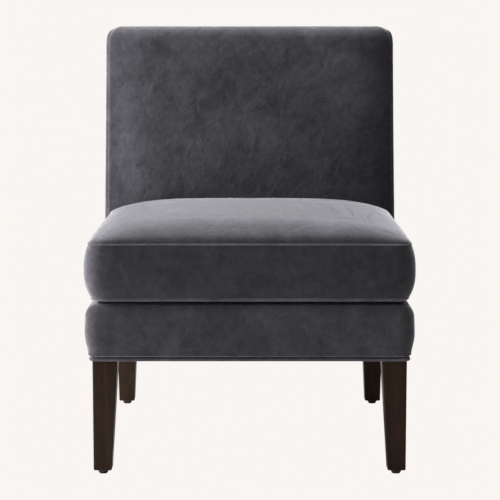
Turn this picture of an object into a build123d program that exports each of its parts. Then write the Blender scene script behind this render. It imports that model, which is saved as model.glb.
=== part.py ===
from build123d import *

import os
from math import cos, radians, sin, tan

# Armless upholstered accent chair, in millimetres.
# +Z is up, the chair faces -Y, and left is -X, as seen by someone looking at its front.
# The origin is on the floor, under the middle of the chair's bounding box.

# Seat frame, cut from hardwood boards
frame_width = 572
rail_thickness = 20
rail_height = 86
corner_block_reach = 80
corner_block_height = 45
block_screw_offset = 38
block_screw_height = 24
block_screw_bite = 16

# Legs and glides
leg_height = 210
leg_top = 46
leg_foot = 33
leg_edge_chamfer = 1.5
rear_leg_rake = 13
glide_height = 8
glide_radius = 10.5
glide_foot_radius = 7.5
glide_rim = 2.5

# Fixings
bolt_radius = 4
bolt_edge_distance = 11
bolt_depth_in_leg = 45
bolt_stick_out = 3
washer_radius = 9
washer_thickness = 1.6
nut_across_flats = 13
nut_height = 6.5
screw_radius = 2.2
screw_head_radius = 4.2
screw_head_height = 3
screw_length = 40
nail_radius = 1.25
nail_length = 26
staple_length = 12
staple_wire = 1
staple_pitch = 66

# Upholstery of the base
cover_thickness = 2
border_pad_thickness = 12
base_foot_tuck = 6
base_shoulder_height = 16
base_shoulder_inset = 14
base_corner_radius = 20
base_welt_radius = 3
base_welt_proud = 1
base_welt_lift = 1
deck_pad_thickness = 11.5
dust_cover_thickness = 1
dust_cover_margin = 4

# Webbing under the seat and behind the back
strap_width = 56
strap_thickness = 1.5
strap_slack = 2
strap_end_margin = 3
seat_straps_lengthwise = 4
seat_straps_crosswise = 4
back_straps_upright = 3
back_straps_crosswise = 3

# Seat cushion
cushion_side_overhang = 16
cushion_boxing = 102
cushion_crown = 40
cushion_crown_inset = 130
cushion_crown_rear_inset = 34
cushion_corner_radius = 36
cushion_overhang = 2
cushion_top_tuck = 8
cushion_foot_tuck = 9
cushion_back_gap = 4
top_welt_radius = 2
bottom_welt_radius = 3.6
core_inset = 30
core_corner_radius = 24

# Zipper in the rear of the cushion's boxing
zipper_end_margin = 67
zipper_tape_width = 26
zipper_tape_thickness = 1
zipper_chain_width = 5
zipper_chain_height = 1.2
slider_length = 11
slider_width = 9
slider_height = 2.5
pull_length = 24
pull_width = 5
pull_thickness = 0.8

# Back
back_side_padding = 18
back_height = 500
seat_depth = 500
back_rake = 9
back_top_thickness = 106
back_foam_thickness = 50
back_rear_padding = 12
back_top_front_radius = 34
back_top_rear_radius = 26
back_edge_radius = 9
back_top_padding = 16
gusset_seam_inset = 10
outside_back_drop = 24
back_rail_height = 58
back_rail_thickness = 22
post_foot_depth = 68
lower_rail_lift = 24
back_rail_screw_spread = 26
tack_strip_height = 14
tack_strip_thickness = 1.2
tack_strip_drop = 2

# Clearances: between soft pieces, and round a fixing in its hole
soft_gap = 0.3
hole_gap = 0.1

# Small round pieces, sewn cords and soft corners are many-sided, which keeps the mesh light
fixing_sides = 10
glide_sides = 30
cord_sides = 8
corner_facets = 6
least_radius = 2

# How far a cutting shape runs past what it cuts
past = 10

# Heights that follow from the sizes above
frame_bottom = glide_height + leg_height
rail_top = frame_bottom + rail_height
webbing_stack = 2 * strap_thickness + 3 * soft_gap
deck_pad_bottom = rail_top + webbing_stack + soft_gap
deck_top = deck_pad_bottom + deck_pad_thickness + soft_gap + cover_thickness
base_bottom = frame_bottom + base_welt_lift + base_welt_radius + soft_gap
back_bottom = deck_top + soft_gap
back_top = deck_top + back_height
back_shoulder_start = back_top - back_top_rear_radius
cushion_bottom = deck_top + soft_gap
bottom_welt_height = cushion_bottom + bottom_welt_radius
boxing_bottom = cushion_bottom + 2 * bottom_welt_radius + soft_gap
boxing_top = cushion_bottom + cushion_boxing
top_welt_height = boxing_top + soft_gap + top_welt_radius
crown_bottom = top_welt_height + top_welt_radius + soft_gap
seat_top = crown_bottom + cushion_crown

# Places from front to back: the depth runs from the cushion's front to the back's rear, under its shoulder
rake_slope = tan(radians(back_rake))
base_wall = border_pad_thickness + cover_thickness
lean_at_shoulder = (back_shoulder_start - seat_top) * rake_slope
overall_depth = seat_depth + lean_at_shoulder + back_top_thickness
front = -overall_depth / 2
base_front = front + cushion_overhang
frame_front = base_front + base_wall
behind_cover = cover_thickness + soft_gap + back_foam_thickness
behind_webbing = behind_cover + soft_gap + webbing_stack
post_foot_front = front + seat_depth + (rail_top - seat_top) * rake_slope + behind_webbing
frame_back = post_foot_front + post_foot_depth
frame_depth = frame_back - frame_front
base_back = frame_back + base_wall
frame_side = frame_width / 2
rail_side = frame_side - rail_thickness
base_side = frame_side + base_wall
cushion_side = frame_side + cushion_side_overhang
back_side = frame_side + back_side_padding
rear_slope = (front + overall_depth - base_back) / (back_shoulder_start - deck_top)

far = 4 * overall_depth

SIDES = {"left": -1, "right": 1}
ENDS = {"front": 1, "rear": -1}


def inside_back_y(z):
    """Where the inside back's most forward line stands at height z."""
    return front + seat_depth + (z - seat_top) * rake_slope


def outside_back_y(z):
    """Where the outside back stands at height z."""
    return base_back + (z - deck_top) * rear_slope


def post_front_y(z):
    """The front edge of the back posts, behind the foam and the webbing."""
    return post_foot_front + (z - rail_top) * rake_slope


def post_rear_y(z):
    """The rear edge of the back posts, in front of the wadding and the outside cover."""
    return outside_back_y(z) - back_rear_padding - cover_thickness


def cushion_rear_y(z):
    """The cushion's rear face, a little in front of the inside back."""
    return inside_back_y(z) - cushion_back_gap


def save(builder, name):
    """Labels a finished piece and writes it under its own name."""
    builder.part.label = name
    export_step(builder.part, f"parts/{name}.step")


def shoulder(height, inset, angles):
    """A rounded shoulder as (rise, take-in) pairs: a quarter ellipse, read at the given angles."""
    return [(height * sin(radians(a)), inset * (1 - cos(radians(a)))) for a in angles]


def soft_outline(half_width, y_front, y_rear, radius):
    """The corner points of a rectangle whose rounded corners are made of equal flats."""
    points = []
    corners = ((1, y_rear - radius), (-1, y_rear - radius), (-1, y_front + radius), (1, y_front + radius))
    for quarter, (sign, y_centre) in enumerate(corners):
        x_centre = sign * (half_width - radius)
        for i in range(corner_facets + 1):
            turn = radians(90 * (quarter + i / corner_facets))
            points.append((x_centre + radius * cos(turn), y_centre + radius * sin(turn)))
    return points


def skinned(outlines):
    """A solid skinned over a stack of level outlines, whose points are in the same order."""
    skin = [Face(Wire.make_polygon(outlines[0])), Face(Wire.make_polygon(outlines[-1]))]
    for lower, upper in zip(outlines, outlines[1:]):
        for i in range(len(lower)):
            skin.append(Face(Wire.make_polygon([lower[i - 1], lower[i], upper[i], upper[i - 1]])))
    with BuildPart() as form:
        add(Solid(Shell(skin)))
    return form.part


def padded_form(ribs):
    """A soft form skinned over level ribs of (z, half width, front y, rear y, corner radius)."""
    return skinned([[(x, y, z) for x, y in soft_outline(*rib)] for z, *rib in ribs])


def welt(z, half_width, y_front, y_rear, corner_radius, radius):
    """A round sewn-in cord that runs once round a seam at height z."""
    with BuildPart() as cord:
        with BuildLine(Plane.XY.offset(z)) as seam:
            FilletPolyline(
                (-half_width, y_front),
                (half_width, y_front),
                (half_width, y_rear),
                (-half_width, y_rear),
                radius=corner_radius,
                close=True,
            )
        with BuildSketch(Plane(origin=seam.line @ 0, z_dir=seam.line % 0)):
            RegularPolygon(radius, cord_sides)
        sweep()
    return cord.part


# The padded forms. Each takes an inset, so that covers, wraps and cores nest inside one another.


def belly(low, high, low_tuck, high_tuck, count):
    """Levels of (z, take-in) up a band that is drawn in at both seams and fullest in its middle."""
    levels = []
    for i in range(count + 1):
        share = i / count
        tuck = low_tuck if share < 0.5 else high_tuck
        levels.append((low + share * (high - low), tuck * (1 - sin(radians(180 * share)))))
    return levels


def base_ribs(inset):
    """The seat base: tucked in at its foot, a belly, and a rounded shoulder under the cushion."""
    shoulder_start = deck_top - base_shoulder_height
    levels = belly(base_bottom, shoulder_start - inset, base_foot_tuck, 0, 6)[:-1]
    for rise, take_in in shoulder(base_shoulder_height, base_shoulder_inset, (0, 30, 60, 90)):
        levels.append((shoulder_start + rise - inset, take_in))
    ribs = []
    for z, take_in in levels:
        by = take_in + inset
        radius = max(base_corner_radius - by, least_radius)
        ribs.append((z, base_side - by, base_front + by, base_back - by, radius))
    return ribs


def boxing_ribs(inset):
    """The cushion's boxing: a band with a belly between its two seams."""
    ribs = []
    for z, take_in in belly(boxing_bottom, boxing_top, cushion_foot_tuck, cushion_top_tuck, 4):
        by = take_in + inset
        radius = cushion_corner_radius - by
        ribs.append((z, cushion_side - by, front + by, cushion_rear_y(z) - inset, radius))
    return ribs


def crown_ribs(inset):
    """The cushion's top: a crown that rises quickly at the seam and flattens towards the middle."""
    ribs = []
    radius = cushion_corner_radius - cushion_top_tuck - inset
    for rise, take_in in shoulder(cushion_crown, cushion_crown_inset, (0, 14, 30, 48, 68, 90)):
        by = cushion_top_tuck + take_in + inset
        rear_take_in = take_in * cushion_crown_rear_inset / cushion_crown_inset
        y_rear = cushion_rear_y(boxing_top) - rear_take_in - inset
        ribs.append((crown_bottom + max(rise - inset, 0), cushion_side - by, front + by, y_rear, radius))
    return ribs


def back_form(inset):
    """The back: a raked side profile with a rolled top, drawn out to its width, with rounded side edges."""
    top = back_top - inset
    with BuildPart() as form:
        with BuildSketch(Plane.YZ) as profile:
            Polygon(
                (inside_back_y(back_bottom) + inset, back_bottom),
                (outside_back_y(back_bottom) - inset, back_bottom),
                (outside_back_y(top) - inset, top),
                (inside_back_y(top) + inset, top),
                align=None,
            )
            fillet(profile.vertices().group_by(Axis.Y)[-1].sort_by(Axis.X)[0], back_top_front_radius - inset)
            fillet(profile.vertices().group_by(Axis.Y)[-1].sort_by(Axis.X)[-1], back_top_rear_radius - inset)
        extrude(amount=back_side - inset, both=True)
        side_edges = form.faces().filter_by(Axis.X).edges()
        fillet(side_edges.filter_by(lambda e: e.center().Z > back_bottom + inset), back_edge_radius - inset)
    return form.part


os.makedirs("parts", exist_ok=True)

# Where each leg's bolt stands: just inside the rails, in the corner block
bolt_x = rail_side - bolt_edge_distance
bolt_y = {
    "front": frame_front + rail_thickness + bolt_edge_distance,
    "rear": frame_back - rail_thickness - bolt_edge_distance,
}
corner_y = {"front": frame_front + rail_thickness, "rear": frame_back - rail_thickness}
leg_face_y = {"front": frame_front, "rear": frame_back}
foot_shift = {"front": 0, "rear": leg_height * tan(radians(rear_leg_rake))}
foot_x = frame_side - leg_foot / 2
foot_y = {}
for end, inward in ENDS.items():
    foot_y[end] = leg_face_y[end] + inward * leg_foot / 2 + foot_shift[end]
block_top = frame_bottom + corner_block_height
bolt_top = block_top + washer_thickness + nut_height + bolt_stick_out
screw_z = frame_bottom + block_screw_height
screw_seat = screw_length - block_screw_bite


def bar(plane, radius, length):
    """A slim many-sided rod that runs from a plane along its Z axis, or against it for a negative length."""
    with BuildPart() as rod:
        with BuildSketch(plane):
            RegularPolygon(radius, fixing_sides)
        extrude(amount=length)
    return rod.part


def screw(seat):
    """A pan-head wood screw on the plane's Z axis, its head standing on the plane."""
    with BuildPart() as fixing:
        add(bar(seat, screw_head_radius, screw_head_height))
        add(bar(seat, screw_radius, -screw_length))
    return fixing.part


def screw_hole(seat):
    """The pilot hole of a screw, and the room for its head above the plane."""
    with BuildPart() as room:
        add(bar(seat, screw_head_radius + hole_gap, corner_block_reach))
        add(bar(seat, screw_radius + hole_gap, -screw_length - hole_gap))
    return room.part


# Each corner block has one screw into the side of the frame and one into the front or back rail
block_screw_planes = {}
for end, inward in ENDS.items():
    for side, sign in SIDES.items():
        along_x = Plane(
            origin=(sign * (rail_side - screw_seat), corner_y[end] + inward * block_screw_offset, screw_z),
            z_dir=(-sign, 0, 0),
        )
        along_y = Plane(
            origin=(sign * (rail_side - block_screw_offset), corner_y[end] + inward * screw_seat, screw_z),
            z_dir=(0, inward, 0),
        )
        block_screw_planes[end, side] = (along_x, along_y)

# Front and back rails run the full width and between the posts; the side rails butt against both
with BuildPart() as front_rail:
    with Locations((0, frame_front, frame_bottom)):
        Box(frame_width, rail_thickness, rail_height, align=(Align.CENTER, Align.MIN, Align.MIN))
    for side in SIDES:
        add(screw_hole(block_screw_planes["front", side][1]), mode=Mode.SUBTRACT)
save(front_rail, "front_rail")

with BuildPart() as back_rail:
    with Locations((0, frame_back, frame_bottom)):
        Box(2 * rail_side, rail_thickness, rail_height, align=(Align.CENTER, Align.MAX, Align.MIN))
    for side in SIDES:
        add(screw_hole(block_screw_planes["rear", side][1]), mode=Mode.SUBTRACT)
save(back_rail, "back_rail")

side_rail_front = frame_front + rail_thickness
for side, sign in SIDES.items():
    with BuildPart() as side_rail:
        with Locations((sign * (rail_side + rail_thickness / 2), side_rail_front, frame_bottom)):
            Box(
                rail_thickness,
                post_foot_front - side_rail_front,
                rail_height,
                align=(Align.CENTER, Align.MIN, Align.MIN),
            )
        for end in ENDS:
            add(screw_hole(block_screw_planes[end, side][0]), mode=Mode.SUBTRACT)
    save(side_rail, f"{side}_side_rail")

# Back frame: two posts that stand in the seat frame and lean back above it, a top rail and a lower rail
post_top = back_top - back_top_padding - cover_thickness
lower_rail_bottom = deck_top + lower_rail_lift
back_rail_levels = {"lower": lower_rail_bottom, "top": post_top - back_rail_height}
post_screw_planes = []
for level in back_rail_levels.values():
    for side_of_middle in (-1, 1):
        z = level + (back_rail_height + side_of_middle * back_rail_screw_spread) / 2
        y = post_front_y(z) + back_rail_thickness / 2
        for sign in SIDES.values():
            post_screw_planes.append(
                (sign, Plane(origin=(sign * (frame_side - screw_head_height), y, z), z_dir=(sign, 0, 0)))
            )

for side, sign in SIDES.items():
    with BuildPart() as post:
        with BuildSketch(Plane.YZ.offset(sign * (rail_side + rail_thickness / 2))):
            Polygon(
                (post_foot_front, frame_bottom),
                (frame_back, frame_bottom),
                (frame_back, deck_top),
                (post_rear_y(post_top), post_top),
                (post_front_y(post_top), post_top),
                (post_foot_front, rail_top),
                align=None,
            )
        extrude(amount=rail_thickness / 2, both=True)
        add(screw_hole(block_screw_planes["rear", side][0]), mode=Mode.SUBTRACT)
        for screw_sign, plane in post_screw_planes:
            if screw_sign == sign:
                add(screw_hole(plane), mode=Mode.SUBTRACT)
    save(post, f"{side}_back_post")

for name, level in back_rail_levels.items():
    with BuildPart() as cross_rail:
        with BuildSketch(Plane.YZ):
            Polygon(
                (post_front_y(level), level),
                (post_front_y(level) + back_rail_thickness, level),
                (post_front_y(level + back_rail_height) + back_rail_thickness, level + back_rail_height),
                (post_front_y(level + back_rail_height), level + back_rail_height),
                align=None,
            )
        extrude(amount=rail_side, both=True)
        for screw_sign, plane in post_screw_planes:
            add(screw_hole(plane), mode=Mode.SUBTRACT)
    save(cross_rail, f"{name}_back_rail")

with BuildPart() as back_frame_screws:
    for screw_sign, plane in post_screw_planes:
        add(screw(plane))
save(back_frame_screws, "back_frame_screws")

# Corner blocks stiffen the seat frame and take the leg bolts
for end, inward in ENDS.items():
    for side, sign in SIDES.items():
        with BuildPart() as corner_block:
            with BuildSketch(Plane.XY.offset(frame_bottom)):
                Polygon(
                    (sign * rail_side, corner_y[end]),
                    (sign * (rail_side - corner_block_reach), corner_y[end]),
                    (sign * rail_side, corner_y[end] + inward * corner_block_reach),
                    align=None,
                )
            extrude(amount=corner_block_height)
            for plane in block_screw_planes[end, side]:
                add(screw_hole(plane), mode=Mode.SUBTRACT)
            bolt_foot = Plane((sign * bolt_x, bolt_y[end], frame_bottom))
            add(bar(bolt_foot, bolt_radius + hole_gap, corner_block_height), mode=Mode.SUBTRACT)
        save(corner_block, f"{end}_{side}_corner_block")

with BuildPart() as corner_block_screws:
    for planes in block_screw_planes.values():
        for plane in planes:
            add(screw(plane))
save(corner_block_screws, "corner_block_screws")

# Legs: a front profile and a side profile, tapered on the inner faces; the rear pair is raked backwards
for end, inward in ENDS.items():
    for side, sign in SIDES.items():
        with BuildPart() as leg:
            with BuildSketch(Plane.XZ):
                Polygon(
                    (sign * frame_side, frame_bottom),
                    (sign * (frame_side - leg_top), frame_bottom),
                    (sign * (frame_side - leg_foot), glide_height),
                    (sign * frame_side, glide_height),
                    align=None,
                )
            extrude(amount=far, both=True)
            with BuildSketch(Plane.YZ):
                Polygon(
                    (leg_face_y[end], frame_bottom),
                    (leg_face_y[end] + inward * leg_top, frame_bottom),
                    (foot_y[end] + inward * leg_foot / 2, glide_height),
                    (foot_y[end] - inward * leg_foot / 2, glide_height),
                    align=None,
                )
            extrude(amount=far, both=True, mode=Mode.INTERSECT)
            foot_edges = leg.faces().sort_by(Axis.Z)[0].edges()
            long_edges = leg.edges().filter_by(lambda e: e.length > leg_height / 2)
            chamfer(long_edges + foot_edges, leg_edge_chamfer)
            bolt_foot = Plane((sign * bolt_x, bolt_y[end], frame_bottom - bolt_depth_in_leg))
            add(bar(bolt_foot, bolt_radius + hole_gap, bolt_depth_in_leg), mode=Mode.SUBTRACT)
            nail_foot = Plane((sign * foot_x, foot_y[end], glide_height))
            add(bar(nail_foot, nail_radius + hole_gap, nail_length), mode=Mode.SUBTRACT)
        save(leg, f"{end}_{side}_leg")

# Hanger bolts with a washer and a nut above each corner block
leg_places = [(sign * bolt_x, bolt_y[end]) for end in ENDS for sign in SIDES.values()]
with BuildPart() as leg_bolts:
    with BuildSketch(Plane.XY.offset(frame_bottom - bolt_depth_in_leg)):
        with Locations(*leg_places):
            RegularPolygon(bolt_radius, fixing_sides)
    extrude(amount=bolt_top - frame_bottom + bolt_depth_in_leg)
save(leg_bolts, "leg_bolts")

with BuildPart() as leg_washers:
    with BuildSketch(Plane.XY.offset(block_top)):
        with Locations(*leg_places):
            RegularPolygon(washer_radius, 2 * fixing_sides)
            RegularPolygon(bolt_radius + hole_gap, fixing_sides, mode=Mode.SUBTRACT)
    extrude(amount=washer_thickness)
save(leg_washers, "leg_washers")

with BuildPart() as leg_nuts:
    with BuildSketch(Plane.XY.offset(block_top + washer_thickness)):
        with Locations(*leg_places):
            RegularPolygon(nut_across_flats / 2, 6, major_radius=False)
            RegularPolygon(bolt_radius + hole_gap, fixing_sides, mode=Mode.SUBTRACT)
    extrude(amount=nut_height)
save(leg_nuts, "leg_nuts")

# Glides: a dark plastic foot nailed under each leg
nail_seat = glide_height / 2
glide_profile = [
    (glide_foot_radius, 0),
    (glide_radius, glide_height - glide_rim),
    (glide_radius, glide_height),
]


def glide_ring(radius, z):
    """A ring of points round a glide at height z."""
    turns = [radians(360 * i / glide_sides) for i in range(glide_sides)]
    return [(radius * cos(turn), radius * sin(turn), z) for turn in turns]


for end in ENDS:
    for side, sign in SIDES.items():
        with BuildPart() as glide:
            add(skinned([glide_ring(*ring) for ring in glide_profile]))
            nail_room = bar(Plane.XY.offset(nail_seat), nail_radius + hole_gap, glide_height - nail_seat)
            add(nail_room, mode=Mode.SUBTRACT)
        glide.part.position = (sign * foot_x, foot_y[end], 0)
        save(glide, f"{end}_{side}_glide")

with BuildPart() as glide_nails:
    for end in ENDS:
        for sign in SIDES.values():
            nail_foot = Plane((sign * foot_x, foot_y[end], nail_seat))
            add(bar(nail_foot, nail_radius, nail_length))
save(glide_nails, "glide_nails")


# Webbing: flat straps woven over and under each other, their ends fixed to the rails
low_strap = soft_gap + strap_thickness / 2
high_strap = low_strap + strap_thickness + soft_gap


def strap(plane, start, end, bearing, crossings, over_first):
    """One strap on a plane whose X runs along it and whose Y stands up from the rails."""
    line = [(start, low_strap), (start + bearing, low_strap)]
    half_crossing = strap_width / 2 + strap_slack
    over = over_first
    for place in crossings:
        height = high_strap if over else low_strap
        line += [(place - half_crossing, height), (place + half_crossing, height)]
        over = not over
    line += [(end - bearing, low_strap), (end, low_strap)]
    upper = [(s, h + strap_thickness / 2) for s, h in line]
    lower = [(s, h - strap_thickness / 2) for s, h in reversed(line)]
    with BuildPart() as band:
        with BuildSketch(plane):
            Polygon(*upper, *lower, align=None)
        extrude(amount=strap_width / 2, both=True)
    return band.part


def spread(count, low, high):
    """Evenly spaced places between two ends, half a pitch in from each."""
    pitch = (high - low) / count
    return [low + pitch * (i + 0.5) for i in range(count)]


def woven(plane, upright_places, cross_places, upright_run, cross_run, upright_bearing, cross_bearing):
    """Both sets of straps of one webbed opening: those along the plane's Y, and those along its X."""
    across, up = plane.x_dir, plane.y_dir
    uprights = []
    for i, x in enumerate(upright_places):
        lie = Plane(origin=plane.from_local_coords((x, 0, 0)), x_dir=up, z_dir=across)
        uprights.append(strap(lie, *upright_run, upright_bearing, cross_places, i % 2 == 0))
    crossers = []
    for j, y in enumerate(cross_places):
        lie = Plane(origin=plane.from_local_coords((0, y, 0)), x_dir=across, z_dir=-up)
        crossers.append(strap(lie, *cross_run, cross_bearing, upright_places, j % 2 == 1))
    return uprights, crossers


seat_plane = Plane(origin=(0, 0, rail_top))
lengthwise, crosswise = woven(
    seat_plane,
    spread(seat_straps_lengthwise, -rail_side, rail_side),
    spread(seat_straps_crosswise, side_rail_front, post_foot_front),
    (frame_front + strap_end_margin, frame_back - strap_end_margin),
    (strap_end_margin - frame_side, frame_side - strap_end_margin),
    rail_thickness,
    rail_thickness,
)
lean = Vector(0, sin(radians(back_rake)), cos(radians(back_rake)))
back_plane = Plane(
    origin=(0, post_front_y(lower_rail_bottom), lower_rail_bottom),
    x_dir=(1, 0, 0),
    z_dir=Vector(1, 0, 0).cross(lean),
)
back_run = (post_top - lower_rail_bottom) / cos(radians(back_rake))
upright, across = woven(
    back_plane,
    spread(back_straps_upright, -rail_side, rail_side),
    spread(back_straps_crosswise, back_rail_height, back_run - back_rail_height),
    (strap_end_margin, back_run - strap_end_margin),
    (strap_end_margin - frame_side, frame_side - strap_end_margin),
    back_rail_height - 2 * strap_end_margin,
    rail_thickness,
)
webbing = {
    "seat_webbing_lengthwise": lengthwise,
    "seat_webbing_crosswise": crosswise,
    "back_webbing_upright": upright,
    "back_webbing_crosswise": across,
}
for name, bands in webbing.items():
    with BuildPart() as straps:
        for band in bands:
            add(band)
    save(straps, name)

# Seat base: a pad round the frame, a velvet border with a lip on the deck, and the deck between
pad_inset = cover_thickness + soft_gap


def post_room(gap):
    """The two posts, grown by a gap, where they stand through the top of the base."""
    with BuildPart() as room:
        for sign in SIDES.values():
            with Locations(
                (
                    sign * (rail_side + rail_thickness / 2),
                    (post_foot_front + frame_back) / 2,
                    rail_top,
                )
            ):
                Box(
                    rail_thickness + 2 * gap,
                    frame_back - post_foot_front + 2 * gap,
                    deck_top - rail_top + past,
                    align=(Align.CENTER, Align.CENTER, Align.MIN),
                )
    return room.part


frame_middle = (frame_front + frame_back) / 2
deck_width = 2 * rail_side
deck_depth = frame_depth - 2 * rail_thickness
with BuildPart() as border_pad:
    add(padded_form(base_ribs(pad_inset)))
    with Locations((0, frame_middle, 0)):
        Box(
            frame_width + 2 * hole_gap,
            frame_depth + 2 * hole_gap,
            2 * deck_pad_bottom,
            mode=Mode.SUBTRACT,
        )
        Box(deck_width, deck_depth, 3 * deck_top, mode=Mode.SUBTRACT)
    add(post_room(soft_gap), mode=Mode.SUBTRACT)
save(border_pad, "border_pad")

with BuildPart() as base_cover:
    add(padded_form(base_ribs(0)))
    add(padded_form(base_ribs(cover_thickness)), mode=Mode.SUBTRACT)
    with Locations((0, frame_middle, 0)):
        Box(deck_width, deck_depth, 3 * deck_top, mode=Mode.SUBTRACT)
    add(post_room(soft_gap), mode=Mode.SUBTRACT)
save(base_cover, "base_cover")

with BuildPart() as base_welt:
    welt_inset = base_foot_tuck + base_welt_radius - base_welt_proud
    add(
        welt(
            base_bottom - base_welt_radius - soft_gap,
            base_side - welt_inset,
            base_front + welt_inset,
            base_back - welt_inset,
            base_corner_radius - welt_inset,
            base_welt_radius,
        )
    )
save(base_welt, "base_welt")

with BuildPart() as deck_pad:
    with Locations((0, frame_middle, deck_pad_bottom)):
        Box(
            deck_width - 2 * soft_gap,
            deck_depth - 2 * soft_gap,
            deck_pad_thickness,
            align=(Align.CENTER, Align.CENTER, Align.MIN),
        )
save(deck_pad, "deck_pad")

with BuildPart() as deck_cloth:
    with Locations((0, frame_middle, deck_top)):
        Box(deck_width, deck_depth, cover_thickness, align=(Align.CENTER, Align.CENTER, Align.MAX))
save(deck_cloth, "deck_cloth")

# Dust cover: thin black cloth stapled under the frame, cut away round the legs
dust_side = frame_side - dust_cover_margin
dust_front = frame_front + dust_cover_margin
dust_back = frame_back - dust_cover_margin
leg_room = leg_top + soft_gap
with BuildPart() as dust_cover:
    with BuildSketch(Plane.XY.offset(frame_bottom - dust_cover_thickness)):
        with Locations((0, frame_middle)):
            Rectangle(2 * dust_side, dust_back - dust_front)
        for end, inward in ENDS.items():
            for sign in SIDES.values():
                with Locations((sign * (frame_side - leg_room / 2), leg_face_y[end] + inward * leg_room / 2)):
                    Rectangle(leg_room, leg_room + 2 * soft_gap, mode=Mode.SUBTRACT)
    extrude(amount=dust_cover_thickness)
save(dust_cover, "dust_cover")

staple_inset = dust_cover_margin + staple_length / 2
staple_run_x = frame_width - 2 * leg_room
staple_run_y = frame_depth - 2 * leg_room
staples_x = int(staple_run_x // staple_pitch)
staples_y = int(staple_run_y // staple_pitch)
with BuildPart() as dust_cover_staples:
    staple_z = frame_bottom - dust_cover_thickness
    for y in (frame_front + staple_inset, frame_back - staple_inset):
        for x in spread(staples_x, -staple_run_x / 2, staple_run_x / 2):
            with Locations((x, y, staple_z)):
                Box(staple_length, staple_wire, staple_wire, align=(Align.CENTER, Align.CENTER, Align.MAX))
    for x in (frame_side - staple_inset, staple_inset - frame_side):
        for y in spread(staples_y, frame_middle - staple_run_y / 2, frame_middle + staple_run_y / 2):
            with Locations((x, y, staple_z)):
                Box(staple_wire, staple_length, staple_wire, align=(Align.CENTER, Align.CENTER, Align.MAX))
save(dust_cover_staples, "dust_cover_staples")

# Back upholstery: foam in front of the webbing, wadding round the frame, and four velvet panels


def back_slice(y_at, keep_front):
    """A slab that fills the room in front of, or behind, a plane that leans with the back."""
    low, high = back_bottom - past, back_top + past
    far_y = -far if keep_front else far
    with BuildPart() as slab:
        with BuildSketch(Plane.YZ):
            Polygon((far_y, low), (y_at(low), low), (y_at(high), high), (far_y, high), align=None)
        extrude(amount=far, both=True)
    return slab.part


with BuildPart() as back_foam:
    add(back_form(pad_inset))
    add(back_slice(lambda z: inside_back_y(z) + behind_cover, True), mode=Mode.INTERSECT)
save(back_foam, "back_foam")

with BuildPart() as back_wadding:
    add(back_form(pad_inset))
    add(back_slice(lambda z: inside_back_y(z) + behind_cover + soft_gap, False), mode=Mode.INTERSECT)
    with BuildSketch(Plane.YZ):
        Polygon(
            (inside_back_y(back_bottom), back_bottom - past),
            (post_rear_y(back_bottom) + soft_gap, back_bottom - past),
            (post_rear_y(post_top) + soft_gap, post_top + soft_gap),
            (inside_back_y(post_top), post_top + soft_gap),
            align=None,
        )
    extrude(amount=frame_side + soft_gap, both=True, mode=Mode.SUBTRACT)
save(back_wadding, "back_wadding")

gusset_x = back_side - gusset_seam_inset
panel_top = back_top - outside_back_drop


def outside_seam_y(z):
    """The seam between the inside back, which rolls over the top, and the outside back."""
    return outside_back_y(z) - back_top_rear_radius


with BuildPart() as back_shell:
    add(back_form(0))
    add(back_form(cover_thickness), mode=Mode.SUBTRACT)

with BuildPart() as behind_seam:
    with BuildSketch(Plane.YZ):
        Polygon(
            (outside_seam_y(back_bottom - past), back_bottom - past),
            (far, back_bottom - past),
            (far, panel_top),
            (outside_seam_y(panel_top), panel_top),
            align=None,
        )
    extrude(amount=far, both=True)

for name, mode in {"inside_back_cover": Mode.SUBTRACT, "outside_back_cover": Mode.INTERSECT}.items():
    with BuildPart() as back_panel:
        add(back_shell.part)
        Box(2 * gusset_x, far, far, mode=Mode.INTERSECT)
        add(behind_seam.part, mode=mode)
    save(back_panel, name)

for side, sign in SIDES.items():
    with BuildPart() as gusset:
        add(back_shell.part)
        with Locations((sign * (gusset_x + far / 2), 0, 0)):
            Box(far, far, far, mode=Mode.INTERSECT)
    save(gusset, f"{side}_back_gusset")

# Tack strip: a stiff card strip behind the top rail that holds the outside back's upper edge
with BuildPart() as tack_strip:
    strip_top = post_top - tack_strip_drop
    strip_bottom = strip_top - tack_strip_height
    rail_rear = back_rail_thickness
    with BuildSketch(Plane.YZ):
        Polygon(
            (post_front_y(strip_bottom) + rail_rear, strip_bottom),
            (post_front_y(strip_bottom) + rail_rear + tack_strip_thickness, strip_bottom),
            (post_front_y(strip_top) + rail_rear + tack_strip_thickness, strip_top),
            (post_front_y(strip_top) + rail_rear, strip_top),
            align=None,
        )
    extrude(amount=rail_side - soft_gap, both=True)
save(tack_strip, "tack_strip")

# Seat cushion: foam core, fibre wrap, three velvet panels and two welts
bottom_panel_inset = cushion_foot_tuck + 2 * bottom_welt_radius + soft_gap
bottom_panel_rear = cushion_rear_y(cushion_bottom) - 2 * bottom_welt_radius - soft_gap
bottom_panel_front = front + bottom_panel_inset
core_bottom = cushion_bottom + core_inset / 2
core_front = front + core_inset
core_rear = cushion_rear_y(core_bottom) - core_inset


def cushion_block(z, top, half_width, y_front, y_rear):
    """A plain block with rounded corners, from z to a top height."""
    with BuildPart() as block:
        with BuildSketch(Plane.XY.offset(z)):
            with Locations((0, (y_front + y_rear) / 2)):
                RectangleRounded(2 * half_width, y_rear - y_front, core_corner_radius)
        extrude(amount=top - z)
    return block.part


with BuildPart() as cushion_core:
    add(cushion_block(core_bottom, boxing_top, cushion_side - core_inset, core_front, core_rear))
save(cushion_core, "cushion_core")

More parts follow.
